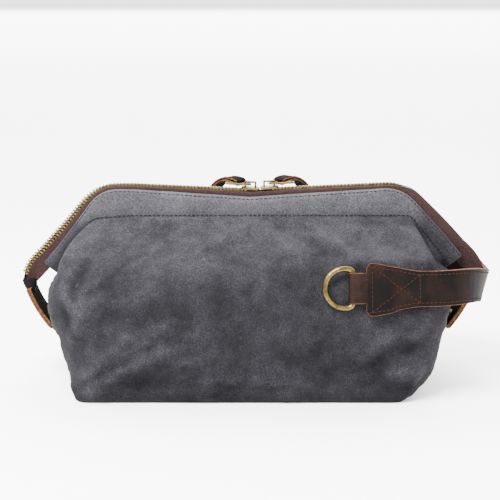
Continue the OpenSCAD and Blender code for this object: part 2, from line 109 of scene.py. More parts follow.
def noise_node(tree, scale, detail, roughness, stretch=(1, 1, 1)):
    place = tree.nodes.new("ShaderNodeTexCoord")
    mapping = tree.nodes.new("ShaderNodeMapping")
    set_inputs(mapping, {"Scale": stretch})
    texture = tree.nodes.new("ShaderNodeTexNoise")
    set_inputs(texture, {"Scale": scale, "Detail": detail, "Roughness": roughness})
    tree.links.new(place.outputs["Object"], mapping.inputs["Vector"])
    tree.links.new(mapping.outputs["Vector"], texture.inputs["Vector"])
    return texture.outputs["Fac"]


def ramp_node(tree, source, stops):
    ramp = tree.nodes.new("ShaderNodeValToRGB")
    while len(ramp.color_ramp.elements) < len(stops):
        ramp.color_ramp.elements.new(0.5)
    for element, (place, colour) in zip(ramp.color_ramp.elements, stops):
        element.position = place
        element.color = (*colour, 1)
    tree.links.new(source, ramp.inputs["Fac"])
    return ramp.outputs["Color"]


def multiply_colours(tree, a, b):
    node = tree.nodes.new("ShaderNodeMix")
    node.data_type = "RGBA"
    node.blend_type = "MULTIPLY"
    set_inputs(node, {"Factor": 1.0})
    tree.links.new(a, node.inputs["A"])
    tree.links.new(b, node.inputs["B"])
    return node.outputs["Result"]


def add_bump(tree, shader, layers, strength):
    """layers holds (height, depth in metres) pairs, the broadest first."""
    previous = None
    for height, depth in layers:
        bump = tree.nodes.new("ShaderNodeBump")
        set_inputs(bump, {"Strength": strength, "Distance": depth})
        tree.links.new(height, bump.inputs["Height"])
        if previous is not None:
            tree.links.new(previous, bump.inputs["Normal"])
        previous = bump.outputs["Normal"]
    tree.links.new(previous, shader.inputs["Normal"])


def canvas_material(name, dark, light, fleck):
    """Waxed canvas: cloudy patches, a fine grain and pale flecks, times a point attribute of creases
    rubbed pale and painted light and shade.
    """
    material, tree, shader = new_material(name)
    clouds = noise_node(tree, 38, 8, 0.74)
    cloudy = ramp_node(tree, clouds, [(0.33, dark), (0.68, light)])
    grain = noise_node(tree, 1300, 3, 0.75)
    speckle = ramp_node(tree, grain,
                        [(0.36, (0.5, 0.5, 0.5)), (0.52, (1, 1, 1)), (0.68, (fleck, fleck, fleck))])
    colour = multiply_colours(tree, cloudy, speckle)
    # The point attribute holds rubbed creases together with painted light and shade: 0.5 is plain
    rub_and_shade = tree.nodes.new("ShaderNodeAttribute")
    rub_and_shade.attribute_name = "rub_and_shade"
    rubbed = ramp_node(tree, rub_and_shade.outputs["Fac"],
                       [(0.0, (0.4, 0.4, 0.41)), (0.5, (1, 1, 1)), (1.0, (2.5, 2.46, 2.46))])
    colour = multiply_colours(tree, colour, rubbed)
    tree.links.new(colour, shader.inputs["Base Color"])
    set_inputs(shader, {"Roughness": 0.82, "Specular IOR Level": 0.04})
    dents = noise_node(tree, 120, 3, 0.6)
    add_bump(tree, shader, [(dents, 0.0012), (grain, 0.0003)], 0.6)
    return material


def leather_material(name, dark, worn, roughness, gloss):
    """Oiled leather: rubbed patches, fine scratches and a grain."""
    material, tree, shader = new_material(name)
    rub = noise_node(tree, 38, 5, 0.65, (1, 1, 0.45))
    rubbed = ramp_node(tree, rub, [(0.42, dark), (0.63, worn)])
    scratch = noise_node(tree, 520, 3, 0.7, (0.25, 0.25, 1))
    marks = ramp_node(tree, scratch,
                      [(0.4, (0.8, 0.8, 0.8)), (0.62, (1, 1, 1)), (0.74, (1.7, 1.6, 1.5))])
    colour = multiply_colours(tree, rubbed, marks)
    tree.links.new(colour, shader.inputs["Base Color"])
    set_inputs(shader, {"Roughness": roughness, "Specular IOR Level": gloss})
    grain = noise_node(tree, 900, 3, 0.6)
    add_bump(tree, shader, [(grain, 0.0004)], 0.5)
    return material


def metal_material(name, dark, light, roughness):
    """Metal with patches of tarnish."""
    material, tree, shader = new_material(name)
    age = noise_node(tree, 260, 4, 0.6)
    aged = ramp_node(tree, age, [(0.35, dark), (0.65, light)])
    tree.links.new(aged, shader.inputs["Base Color"])
    set_inputs(shader, {"Metallic": 1.0, "Roughness": roughness})
    add_bump(tree, shader, [(age, 0.0001)], 0.4)
    return material


def mottled_material(name, dark, light, scale, roughness=0.8):
    """Tape, lining, thread, rubber and raw leather: an even colour with a fine mottle."""
    material, tree, shader = new_material(name)
    weave = noise_node(tree, scale, 2, 0.6)
    woven = ramp_node(tree, weave, [(0.35, dark), (0.68, light)])
    tree.links.new(woven, shader.inputs["Base Color"])
    set_inputs(shader, {"Roughness": roughness, "Specular IOR Level": 0.06})
    add_bump(tree, shader, [(weave, 0.0003)], 0.5)
    return material


# The strong studio lights below keep the floor near white, so these base colours are far darker than
# those of real cloth and leather. The hem is the wall's cloth; it is a lit copy painted lighter, as
# painted light.
CANVAS = canvas_material("canvas", (0.0038, 0.00365, 0.0043), (0.0116, 0.0112, 0.0130), 2.2)
CANVAS_HEM_LIT = canvas_material("canvas_hem_lit", (0.0285, 0.0278, 0.0315), (0.049, 0.0478, 0.0540), 1.8)
LINING = mottled_material("lining", (0.006, 0.006, 0.0065), (0.014, 0.014, 0.015), 900)
TAPE = mottled_material("zip_tape", (0.0125, 0.0062, 0.0058), (0.030, 0.0162, 0.0148), 1400)
BRASS = metal_material("brass", (0.042, 0.029, 0.0090), (0.116, 0.083, 0.029), 0.3)
STEEL = metal_material("wire_steel", (0.35, 0.35, 0.36), (0.55, 0.55, 0.56), 0.4)
RUBBER = mottled_material("cap_rubber", (0.01, 0.01, 0.01), (0.025, 0.025, 0.025), 300, 0.6)
LEATHER = leather_material(
    "leather", (0.0014, 0.0009, 0.0008), (0.0100, 0.0036, 0.0021), 0.6, 0.05)
LEATHER_TAB = leather_material(
    "leather_tab", (0.0020, 0.0013, 0.0010), (0.0070, 0.0036, 0.0025), 0.9, 0.015)
LEATHER_CHAPE = leather_material(
    "leather_chape", (0.0045, 0.0020, 0.0013), (0.0145, 0.0060, 0.0036), 0.5, 0.06)
# The tab's fold is the tab's own leather, painted darker as painted shade in the tight fold
LEATHER_FOLD_SHADED = mottled_material("leather_fold_shaded", (0.001, 0.0009, 0.0008), (0.004, 0.003, 0.0024), 400, 0.9)
EDGE = mottled_material("leather_edge", (0.030, 0.0112, 0.0040), (0.092, 0.0400, 0.0165), 500, 0.75)
THREAD = mottled_material("thread_leather", (0.008, 0.0024, 0.0015), (0.022, 0.0072, 0.0045), 3000, 0.7)
THREAD_CANVAS = mottled_material(
    "thread_canvas", (0.003, 0.003, 0.0035), (0.008, 0.008, 0.009), 3000, 0.7)


# ---------- meshes ----------
def make_object(name, points, faces, materials, face_material=None, sharp_deg=40):
    mesh = bpy.data.meshes.new(name)
    mesh.from_pydata([tuple(p * MM for p in point) for point in points], [], faces)
    for material in materials:
        mesh.materials.append(material)
    if face_material is not None:
        mesh.polygons.foreach_set("material_index", face_material)
    mesh.polygons.foreach_set("use_smooth", [True] * len(mesh.polygons))
    mesh.set_sharp_from_angle(angle=math.radians(sharp_deg))
    mesh.update()
    obj = bpy.data.objects.new(name, mesh)
    bpy.context.scene.collection.objects.link(obj)
    return obj


def set_rub_and_shade(obj, values):
    """How rubbed each point of the canvas is, with painted light and shade in it: 0.5 is plain."""
    rub_and_shade = obj.data.attributes.new("rub_and_shade", "FLOAT", "POINT")
    rub_and_shade.data.foreach_set("value", np.clip(np.array(values, dtype=np.float32), 0, 1))


def shell_faces(rows, cols):
    """Faces of a sheet with two sides and a rim: outer grid first, then the inner grid."""
    half = rows * cols
    faces = []
    for i in range(rows - 1):
        for j in range(cols - 1):
            a, b, c, d = i * cols + j, (i + 1) * cols + j, (i + 1) * cols + j + 1, i * cols + j + 1
            faces.append((a, d, c, b))
            faces.append((half + a, half + b, half + c, half + d))
    rim = list(range(cols))
    rim += [i * cols + cols - 1 for i in range(1, rows)]
    rim += [(rows - 1) * cols + j for j in range(cols - 2, -1, -1)]
    rim += [i * cols for i in range(rows - 2, 0, -1)]
    for a, b in zip(rim, rim[1:] + rim[:1]):
        faces.append((a, half + a, half + b, b))
    return faces


def grid_normals(grid):
    along = np.gradient(grid, axis=1)
    up = np.gradient(grid, axis=0)
    n = np.cross(along, up)
    return n / np.maximum(np.linalg.norm(n, axis=2, keepdims=True), 1e-9)


def shell(name, outer, inner, material, sharp_deg):
    rows, cols = outer.shape[:2]
    points = np.concatenate([outer.reshape(-1, 3), inner.reshape(-1, 3)])
    return make_object(name, points, shell_faces(rows, cols), [material], sharp_deg=sharp_deg)


def tube(name, rings, materials, edge_of=None, sharp_deg=40):
    """A solid swept through closed rings. edge_of(j) is the material of the strip after point j."""
    n = len(rings[0])
    last = len(rings) - 1
    points = [p for ring in rings for p in ring]
    points.append(np.mean(rings[0], axis=0))
    points.append(np.mean(rings[last], axis=0))
    faces = []
    which = []
    for i in range(last):
        for j in range(n):
            k = (j + 1) % n
            faces.append((i * n + j, i * n + k, (i + 1) * n + k, (i + 1) * n + j))
            which.append(edge_of(j) if edge_of else 0)
    cap = len(materials) - 1
    for j in range(n):
        k = (j + 1) % n
        faces.append((k, j, len(points) - 2))
        faces.append((last * n + j, last * n + k, len(points) - 1))
        which += [cap, cap]
    return make_object(name, points, faces, materials, which, sharp_deg)


STITCH_STATIONS = [(-0.42, 0.8), (0.0, 1.0), (0.42, 0.8)]    # share of the length, of the radius


def stitches(name, places, length, radius, material):
    """Sewing stitches: each is a short rounded bar at (centre, direction, outward)."""
    sides = 6
    points = []
    faces = []
    for centre, direction, outward in places:
        t = unit(np.array(direction, float))
        o = unit(np.array(outward, float) - t * np.dot(outward, t))
        s = np.cross(t, o)
        base = len(points)
        points.append(centre - t * 0.5 * length)
        for place, wide in STITCH_STATIONS:
            for q in range(sides):
                a = 2 * math.pi * q / sides
                ring = (s * math.cos(a) + o * math.sin(a)) * radius * wide
                points.append(centre + t * place * length + ring)
        points.append(centre + t * 0.5 * length)
        end = len(points) - 1
        for q in range(sides):
            r = (q + 1) % sides
            faces.append((base, base + 1 + r, base + 1 + q))
            for a in (base + 1, base + 1 + sides):
                faces.append((a + q, a + r, a + sides + r, a + sides + q))
            a = base + 1 + 2 * sides
            faces.append((a + q, a + r, end))
    return make_object(name, points, faces, [material], sharp_deg=60)


def directions(path):
    """Direction of a polyline at each of its points."""
    ends = np.array([path[0], *path, path[-1]])
    return [unit(step) for step in ends[2:] - ends[:-2]]


def along_path(path, pitch, start=0.0, end=0.0):
    """Evenly spaced (point, direction, step, share of the step), leaving out a length at each end."""
    path = np.array(path)
    steps = np.linalg.norm(np.diff(path, axis=0), axis=1)
    reach = np.concatenate([[0], np.cumsum(steps)])
    count = max(2, int(round((reach[-1] - start - end) / pitch)) + 1)
    found = []
    for s in np.linspace(start, reach[-1] - end, count):
        i = min(max(int(np.searchsorted(reach, s)) - 1, 0), len(steps) - 1)
        k = (s - reach[i]) / max(steps[i], 1e-9)
        found.append((mix(path[i], path[i + 1], k), unit(path[i + 1] - path[i]), i, k))
    return found


# ---------- mouth: hems, zip tapes and teeth ----------
# Outlines seen from the front, (x, z), of the right half
HEM_TOP_Z = 135.0
HEM_LOW_Z = 120.5
TOP_CORNER = vec(107.5, HEM_TOP_Z + 7)
TOP_TIP = vec(TIP_X, 91.0)
TOP_CUT = 14.0
LOW_CORNER = vec(113.0, HEM_LOW_Z)
LOW_TIP = TOP_TIP - (9.6, 8.4)
LOW_CUT = 4.0
HEM_COUNTS = (34, 10, 18)


def half_path(mid, corner, tip, cut, counts):
    """Right half of a path: a run from the middle, a corner rounded from cut before it, and an arm."""
    run, bend, arm = counts
    into = corner + unit(mid - corner) * cut
    out = corner + unit(tip - corner) * cut
    points = [mix(mid, into, k / run) for k in range(run)]
    points += [bezier(into, corner, out, k / bend) for k in range(bend + 1)]
    points += [mix(out, tip, k / arm) for k in range(1, arm + 1)]
    return np.array(points)


def both_sides(right):
    return np.concatenate([(right * (-1, 1))[:0:-1], right])


HEM_TOP = both_sides(half_path(vec(0, HEM_TOP_Z), TOP_CORNER, TOP_TIP, TOP_CUT, HEM_COUNTS))
HEM_BOTTOM = both_sides(half_path(vec(0, HEM_LOW_Z), LOW_CORNER, LOW_TIP, LOW_CUT, HEM_COUNTS))
STATIONS = len(HEM_TOP)
HEM_Y = 4.6                 # from the mouth's middle to the hem's, at the shoulder
HEM_SPREAD = 0.075          # and how much it grows with height


def hem_y(z):
    return HEM_Y + HEM_SPREAD * (z - SHOULDER_Z)


LEFT_SWAY = vec(2.6, 0, -3.8)
RIGHT_SWAY = vec(1.6, 0, 1.8)


def sway(p):
    """The mouth sits askew: its left tips hang lower and further in, its right tips higher and out."""
    left = smooth((-p[0] - 78) / 62)
    right = smooth((p[0] - 104) / 42)
    return p + LEFT_SWAY * left + RIGHT_SWAY * right


def hem_edges(i):
    """Lower and upper edge of the hem at station i, which may lie between two stations."""
    i0 = min(int(i), STATIONS - 2)
    low = mix(HEM_BOTTOM[i0], HEM_BOTTOM[i0 + 1], i - i0)
    top = mix(HEM_TOP[i0], HEM_TOP[i0 + 1], i - i0)
    return low, top


def hem_point(i, h, out, side):
    """h from the hem's lower edge towards its top edge, out from its middle; side -1 is the front."""
    low, top = hem_edges(i)
    p = low + unit(top - low) * h
    return sway(vec(p[0], side * (hem_y(p[1]) + out), p[1]))


def hem_height(i):
    low, top = hem_edges(i)
    return np.linalg.norm(top - low)


# Across the hem: the foot as (height, distance out), the head as (depth below the top edge, out)
HEM_FOOT = [(-1.2, 0.9), (0.3, 1.4), (1.0, 1.75), (2.5, 2.1), (5.0, 2.8)]
HEM_HEAD = [(4.6, 3.4), (2.2, 3.2), (0.8, 2.3), (0.1, 0.9)]


def hem_profile(height):
    """The foot is squeezed on the arms, where the hem is too low for both."""
    squeeze = min(1.0, (height - 5.0) / 4.5)
    outside = [(h * squeeze, out) for h, out in HEM_FOOT]
    outside += [(height - down, out) for down, out in HEM_HEAD]
    return outside + [(h, -out) for h, out in reversed(outside)]


# Seams of the hem: (distance from an edge, whether from the top edge, distance out)
HEM_SEAMS = [(1.6, False, 2.05), (1.5, True, 2.85)]
HEM_STITCH_PITCH = 3.1


def hem_arm_shade(x):
    """The hem is painted darker on its arms, past the mouth's corners: painted shade."""
    return 0.5 - 0.46 * smooth((abs(x) - 112) / 14)


def make_hem(side, label):
    rings = []
    for i in range(STATIONS):
        ring = [hem_point(i, h, out, side) for h, out in hem_profile(hem_height(i))]
        swell = 0.35 * fractal(ring[0][0], side * 40, ring[0][2], 16)
        ring = [p + vec(0, side * swell * 0.8, swell * 0.5) for p in ring]
        rings.append(ring if side < 0 else ring[::-1])
    hem = tube("hem_" + label, rings, [CANVAS_HEM_LIT], sharp_deg=60)
    # The hem's arms are painted darker: painted shade
    set_rub_and_shade(hem, [hem_arm_shade(v.co.x / MM) for v in hem.data.vertices])
    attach(hem, label + "_mouth")
    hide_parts(label + "_hem")
    places = []
    for inset, from_top, out in HEM_SEAMS:
        path = []
        for i in range(STATIONS):
            h = hem_height(i) - inset if from_top else inset
            path.append(hem_point(i, h, out, side))
        for point, direction, _, _ in along_path(path, HEM_STITCH_PITCH, 2, 2):
            places.append((point, direction, (0, side, 0.3)))
    sewing = stitches("hem_stitches_" + label, places, length=2.1, radius=0.34, material=THREAD_CANVAS)
    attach(sewing, label + "_mouth")


WIRE_R = 1.5
WIRE_DEPTH = 3.9            # below the hem's top edge
WIRE_START = 2              # in stations from each end of the hem
CAP_R = 2.1
CAP_PLACES = (1.5, 2.2, 2.9, 3.6)


def wire_ring(i, r, side, flip):
    height = hem_height(i) - WIRE_DEPTH
    turns = np.linspace(0, 2 * math.pi, 13)[:-1]
    ring = [hem_point(i, height + r * math.cos(a), r * math.sin(a), side) for a in turns]
    return ring[::-1] if flip else ring


def make_wire(side, label):
    """The frame wire inside a hem, with a rubber cap on each end."""
    rings = [wire_ring(i, WIRE_R, side, side > 0) for i in range(WIRE_START, STATIONS - WIRE_START)]
    wire = tube("frame_wire_" + label, rings, [STEEL])
    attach(wire, label + "_mouth")
    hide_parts(label + "_frame_wire")
    for end, step, name in ((0, 1, "left"), (STATIONS - 1, -1, "right")):
        flip = (side > 0) != (step < 0)
        rings = [wire_ring(end + step * k, CAP_R, side, flip) for k in CAP_PLACES]
        cap = tube("wire_cap_" + label + "_" + name, rings, [RUBBER])
        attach(cap, label + "_mouth")
        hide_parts(label + "_wire_caps")


def zip_path(mid_z, cut, *places):
    """The zip seen from the front: along the mouth's edge to a knee, then a bend down to its foot."""
    corner, knee, foot, control = [np.array(place) for place in places]
    right = half_path(vec(0, mid_z), corner, knee, cut, (40, 12, 22))
    tail = [bezier(knee, control, foot, k / 14) for k in range(1, 15)]
    return both_sides(np.concatenate([right, tail]))


# The middle of the chain, and the edge of the tapes that is sewn to the hems
CHAIN = zip_path(138.2, 15, (111.0, 143.4), (152.0, 98.5), (165.5, 75.0), (165.0, 88.0))
SEWN = zip_path(130.5, 10, (104.5, 136.5), (143.5, 90.0), (157.0, 75.2), (148.0, 84.0))
TAPE_T = 0.5
TAPE_INSIDE_HEM = 3.5       # from the hem's middle to where the tape is sewn
TEETH_PITCH = 2.5           # a number 5 metal zip
TEETH_FROM_END = 7.0


def tape_y(z):
    return hem_y(max(z, SHOULDER_Z)) - TAPE_INSIDE_HEM


def chain_roll(x, side, down):
    """On its left arm the zip rolls over, so that its face turns to the front: shift of one half."""
    return down * -side * 1.3 * smooth((-x - 98) / 26)


def pucker(x):
    """On its right arm the tapes stand up beside the teeth and hide them."""
    return smooth((x - 100) / 16)


def tape_row(c, w, side):
    """One section of a tape, from the chain c over its fold down to the sewn edge w."""
    down = unit(w - c)
    fold = max(tape_y(c[1]), 2.4 + 1.3 * pucker(c[0]))
    wave = 0.25 * fractal(c[0], side * 30, c[1], 14)
    middle = mix(c, w, 0.5)
    c = c + chain_roll(c[0], side, down)
    stand = down * 1.7 * pucker(c[0])
    row = [(c, 0.45),
           (c + down * 0.1 - stand * 0.3, 1.7),
           (c + down * 0.3 - stand, max(fold * 0.9, 3.2)),
           (mix(c, w, 0.25), fold * 0.97 + wave),
           (middle, tape_y(middle[1]) + wave * 0.5),
           (w, tape_y(w[1]))]
    return [sway(vec(p[0], side * y, p[1])) for p, y in row]


def make_tape(side, label):
    outer = np.array([tape_row(c, w, side) for c, w in zip(CHAIN, SEWN)])
    if side > 0:
        outer = outer[::-1]
    inner = outer - grid_normals(outer) * TAPE_T
    tape = shell("zip_tape_" + label, outer, inner, TAPE, sharp_deg=60)
    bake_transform(tape)
    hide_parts(label + "_zip_tape")


# A tooth seen from above, (along the chain, out from its middle), and its levels, (height, size)
TOOTH_OUTLINE = [(-0.66, 2.7), (0.66, 2.7), (0.7, 0.6), (0.5, -0.8), (-0.5, -0.8), (-0.7, 0.6)]
TOOTH_LEVELS = [(-1.5, 0.72), (-1.15, 1.0), (1.15, 1.0), (1.5, 0.72)]
TOOTH_MIDDLE = 0.9


def tooth(centre, along, down, side):
    """One tooth: a rounded block that clamps the tape's edge and reaches just past the middle."""
    points = []
    for lift, size in TOOTH_LEVELS:
        for a, y in TOOTH_OUTLINE:
            out = side * (TOOTH_MIDDLE + (y - TOOTH_MIDDLE) * size)
            points.append(centre + along * a * size - down * lift + vec(0, out, 0))
    faces = []
    n = len(TOOTH_OUTLINE)
    for i in range(len(TOOTH_LEVELS) - 1):
        for j in range(n):
            k = (j + 1) % n
            faces.append((i * n + j, i * n + k, (i + 1) * n + k, (i + 1) * n + j))
    faces.append(tuple(range(n))[::-1])
    faces.append(tuple(range(3 * n, 4 * n)))
    if side > 0:
        faces = [f[::-1] for f in faces]
    return points, faces


def make_teeth(side, label):
    """Single teeth; the rear row lies half a pitch off the front one."""
    points = []
    faces = []
    shift = 0.0 if side < 0 else TEETH_PITCH / 2
    chain = [sway(vec(p[0], 0, p[1])) for p in CHAIN]
    row = along_path(chain, TEETH_PITCH, TEETH_FROM_END + shift, TEETH_FROM_END - shift)
    for point, direction, i, k in row:
        if TEETH_GAP[0] < point[0] < TEETH_GAP[1]:
            continue
        edge = mix(CHAIN[i], CHAIN[i + 1], k)
        sewn = mix(SEWN[i], SEWN[i + 1], k)
        down = unit(sewn - edge)
        down = vec(down[0], 0, down[1])
        sunk = chain_roll(point[0], side, down) + down * 0.8 * pucker(point[0])
        more, shapes = tooth(np.array(point) + sunk, direction, down, side)
        faces += [tuple(len(points) + q for q in face) for face in shapes]
        points += more
    teeth = make_object("zip_teeth_" + label, points, faces, [BRASS], sharp_deg=30)
    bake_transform(teeth)
    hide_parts(label + "_zip_teeth")


for side, label in ((-1, "front"), (1, "rear")):
    make_hem(side, label)
    make_wire(side, label)
    make_tape(side, label)
    make_teeth(side, label)


# ---------- canvas body ----------
# The handle's sewn end, front and rear, is a flat patch that leans with the wall
ANCHOR_Z = 82.0
ANCHOR_Y = 65.2
ANCHOR_LEAN = 14.0
PATCH_Y = 61.0              # of the wall behind it, at the same height

# Height, left half width, right half width, half depth, corner radius
LEVELS = np.array([
    [0.4, 120.5, 106.0, 60.0, 9],
    [3.5, 123.5, 113.0, 62.4, 13],
    [8, 125.5, 119.5, 63.4, 20],
    [13, 126.5, 125.0, 63.0, 28],
    [18, 128.0, 129.0, 63.9, 29],
    [28, 130.5, 131.0, 65.0, 30],
    [40, 133.5, 133.0, 65.8, 31],
    [50, 138.0, 137.0, 65.9, 32],
    [62, 141.0, 140.0, 65.0, 30],
    [72, 139.6, 139.6, 62.9, 26],
    [SHOULDER_Z, 136.8, 136.8, 60.4, 20],
])
STRAIGHT_F = 0.60           # part of the half outline that is the front wall
CORNER_F = 0.72             # and where its rounded corner ends
RIDGE_F = 0.65              # the sharp fold that runs up to the end of the stitch line
LOWER_ROWS = 46
UPPER_ROWS = 36
COLUMNS = 260
BOTTOM_Z = 0.4

# Creases: from (x, z) to (x, z), height and half width; negative ones are hollows
FRONT_CREASES = [
    (-112, 10, -73, 33, 2.2, 6.5), (-73, 33, -35, 49, 1.8, 7.5), (-35, 49, 8, 62, 0.9, 9),
    (-121, 17, -84, 46, 2.2, 6), (-84, 46, -50, 57, 1.1, 7),
    (-104, 20, -66, 43, -1.6, 5), (-98, 8, -60, 20, -1.3, 8),
    (-128, 44, -112, 66, 1.5, 5), (-118, 40, -100, 58, -1.2, 5),
    (-122, 70, -104, 92, 1.1, 6), (-112, 74, -96, 100, -1.2, 5), (-100, 84, -88, 112, 1.0, 5),
    (-30, 20, 40, 14, 0.8, 6), (-20, 12, 50, 8, -0.8, 5), (20, 40, 60, 30, -0.7, 9),
    (76, 32, 92, 48, 1.5, 5.5), (92, 48, 106, 60, 1.3, 5.5), (86, 30, 104, 44, -1.5, 5),
    (98, 22, 120, 26, 2.3, 6), (104, 38, 114, 40, -1.9, 6), (112, 50, 126, 62, 1.4, 6),
    (96, 10, 116, 12, -1.3, 5), (118, 12, 130, 34, 1.4, 5),
    (-60, 100, -52, 118, 0.8, 5), (-22, 98, -14, 119, 0.7, 5), (16, 104, 22, 119, 0.7, 4.5),
    (54, 104, 60, 119, 0.8, 5), (92, 102, 98, 118, 0.9, 5), (-80, 60, -40, 74, -0.8, 9),
    (-126, 94, -122, 76, -2.6, 5), (-136, 92, -128, 66, 2.0, 5), (-132, 70, -124, 52, -2.2, 5),
    (-118, 66, -98, 80, 1.6, 5), (-108, 58, -86, 66, -1.2, 5), (40, 92, 70, 106, 1.0, 6),
    (30, 82, 62, 96, -0.9, 6), (-96, 26, -58, 54, 1.2, 4), (-60, 22, -20, 40, 0.8, 5),
]
REAR_CREASES = [
    (-110, 14, -60, 44, 2.0, 7), (-60, 44, -10, 60, 1.2, 8), (-90, 10, -50, 26, -1.4, 7),
    (112, 12, 70, 40, 2.2, 7), (70, 40, 30, 52, 1.2, 8), (96, 14, 64, 28, -1.5, 6),
    (-120, 46, -100, 70, 1.3, 6), (120, 44, 104, 66, 1.4, 6), (-20, 18, 40, 14, 0.9, 7),
    (-60, 98, -50, 118, 0.8, 5), (10, 100, 16, 118, 0.8, 5), (64, 100, 70, 118, 0.8, 5),
]


def level(z):
    """The wall's measures at height z, averaged over a short stretch so that no level shows."""
    near = vec(z - 2, z, z + 2)
    return [float(np.mean(np.interp(near, LEVELS[:, 0], LEVELS[:, c]))) for c in range(1, 5)]


def outline(f, z, inset=0.0):
    """Point of the front half of the outline at height z; f runs from -1, left, to 1, right."""
    left, right, half_d, radius = level(z)
    half_w = (left if f < 0 else right) - inset
    half_d -= inset
    radius -= inset
    side = -1 if f < 0 else 1
    a = abs(f)
    if a <= STRAIGHT_F:
        return vec(side * (half_w - radius) * a / STRAIGHT_F, -half_d, z)
    if a <= CORNER_F:
        turn = (a - STRAIGHT_F) / (CORNER_F - STRAIGHT_F) * math.pi / 2
        x = half_w - radius + radius * math.sin(turn)
        return vec(side * x, -(half_d - radius + radius * math.cos(turn)), z)
    return vec(side * half_w, -(half_d - radius) * (1 - a) / (1 - CORNER_F), z)


RIGHT_BOTTOM = HEM_BOTTOM[STATIONS // 2:]
BOTTOM_REACH = np.concatenate([[0], np.cumsum(np.linalg.norm(np.diff(RIGHT_BOTTOM, axis=0), axis=1))])
RUN_REACH = BOTTOM_REACH[HEM_COUNTS[0] + HEM_COUNTS[1] // 2]


def canvas_top(f, inset=0.0):
    """Where the canvas is sewn to the hem."""
    reach = np.interp(abs(f), (0, RIDGE_F, 1), (0, RUN_REACH, BOTTOM_REACH[-1]))
    i = STATIONS // 2 + float(np.interp(reach, BOTTOM_REACH, np.arange(len(BOTTOM_REACH))))
    if f < 0:
        i = STATIONS - 1 - i
    return hem_point(i, 0.75, 1.75 - inset, -1)


# Above the shoulder the wall follows an S curve to the seam, through two control points
LOW_CONTROL_Z = 98.0
HIGH_CONTROL_Z = 109.0


def canvas_point(f, row, inset=0.0):
    """Smooth form of the front canvas, before it is creased; its ends fold inwards past the ridge."""
    if row < LOWER_ROWS:
        return outline(f, mix(BOTTOM_Z, SHOULDER_Z, (row / LOWER_ROWS) ** 1.15), inset)
    k = (row - LOWER_ROWS) / UPPER_ROWS
    a = abs(f)
    side = -1 if f < 0 else 1
    base = outline(f, SHOULDER_Z, inset)
    top = canvas_top(f, inset)
    near_ridge = smooth((a - 0.42) / 0.2)
    bow = near_ridge * 0.6 if f < 0 else 0.0    # only the left ridge bows outwards
    low = vec(mix(base[0], top[0], 0.12 - 0.2 * bow),
              base[1] * mix(0.97, 0.85, near_ridge),
              LOW_CONTROL_Z - inset)
    high = vec(mix(base[0], top[0], 0.8 - bow),
               mix(base[1], top[1], mix(0.78, 0.6, near_ridge)),
               HIGH_CONTROL_Z - inset)
    span = np.linalg.norm(top - base)
    hollow = mix(base, top, 0.5) + vec(-side * min(7, 0.2 * span), 1.5, -2)
    beyond = smooth((a - RIDGE_F) / 0.08)
    low = mix(low, mix(base, hollow, 0.67), beyond)
    high = mix(high, mix(top, hollow, 0.67), beyond)
    return mix(bezier(base, low, high, k), bezier(low, high, top, k), k)


def crease_height(creases, x, z):
    total = 0.0
    z += 2.5 * fractal(x, z, 7, 22)
    for x0, z0, x1, z1, height, width in creases:
        dx, dz = x1 - x0, z1 - z0
        k = ((x - x0) * dx + (z - z0) * dz) / (dx * dx + dz * dz)
        k = min(max(k, 0), 1)
        off = math.hypot(x - x0 - k * dx, z - z0 - k * dz)
        taper = 1 - 0.5 * abs(2 * k - 1)
        total += height * taper * math.exp(-((off / width) ** 2) * 1.6)
    return total


# The wall is held flat behind the handle's sewn end and the loop of the D-ring
PATCH_LOW_X = box_mm("ring_chape")[0][0] + 3
PATCH_HIGH_X = 118.0
PATCH_LOW_Z = 52.0
PATCH_HIGH_Z = 109.0


def patch_hold(x, z):
    across = smooth((x - PATCH_LOW_X + 9) / 9) * smooth((PATCH_HIGH_X + 12 - x) / 12)
    return across * smooth((z - PATCH_LOW_Z) / 12) * smooth((PATCH_HIGH_Z - z) / 11)


def patch_plane(z):
    """Depth of the flat patch, which leans as the handle's end does."""
    return PATCH_Y + (ANCHOR_Z - z) * math.tan(math.radians(ANCHOR_LEAN))


def vein_height(reach, z, side):
    """A net of fine ridges, along the places where a noise field crosses nought."""
    return math.exp(-(fractal(reach + 0.5 * z, side * 70, z - 0.35 * reach, 30) / 0.055) ** 2)


def canvas_rub_and_shade(f, x, z, crease, rumple, vein, patchy):
    """Paler where creases rub, with painted shade in their hollows and painted light on rumples; painted
    light towards the seam and on the left end, a painted highlight on the right foot, painted shade past
    the ridge.
    """
    # Rubbed creases and wax veins, with painted light and shade that follow the creases and rumples
    rub_and_shade = 0.5 + 0.17 * crease * (0.4 + patchy) + 0.06 * rumple + 0.09 * vein * patchy
    # Painted light: the upper wall is painted lighter towards the seam
    rub_and_shade += 0.25 * smooth((z - 76) / 34) + 0.26 * smooth((z - 102) / 18)
    # Painted light on the left end
    rub_and_shade += 0.12 * smooth((-x - 96) / 30)
    # Painted highlight on the bulging right foot
    rub_and_shade += 0.14 * smooth((x - 98) / 20) * smooth((66 - z) / 20)
    # Painted shade past the ridge, where the wall folds in
    return rub_and_shade - 0.28 * math.exp(-((abs(f) - 0.73) / 0.05) ** 2) * smooth((z - 80) / 8)


def right_shelf(f, z):
    """The front wall swells under the right end tab."""
    return 5.0 * math.exp(-((f - 0.85) / 0.09) ** 2 - ((z - 79) / 9) ** 2)


WALL_T = 1.5
LINING_T = 0.5
LINING_INSET = 2.6
UNDER = (0.93, 0.88, 1)     # the wall's rim under the base, as shares of its lowest outline


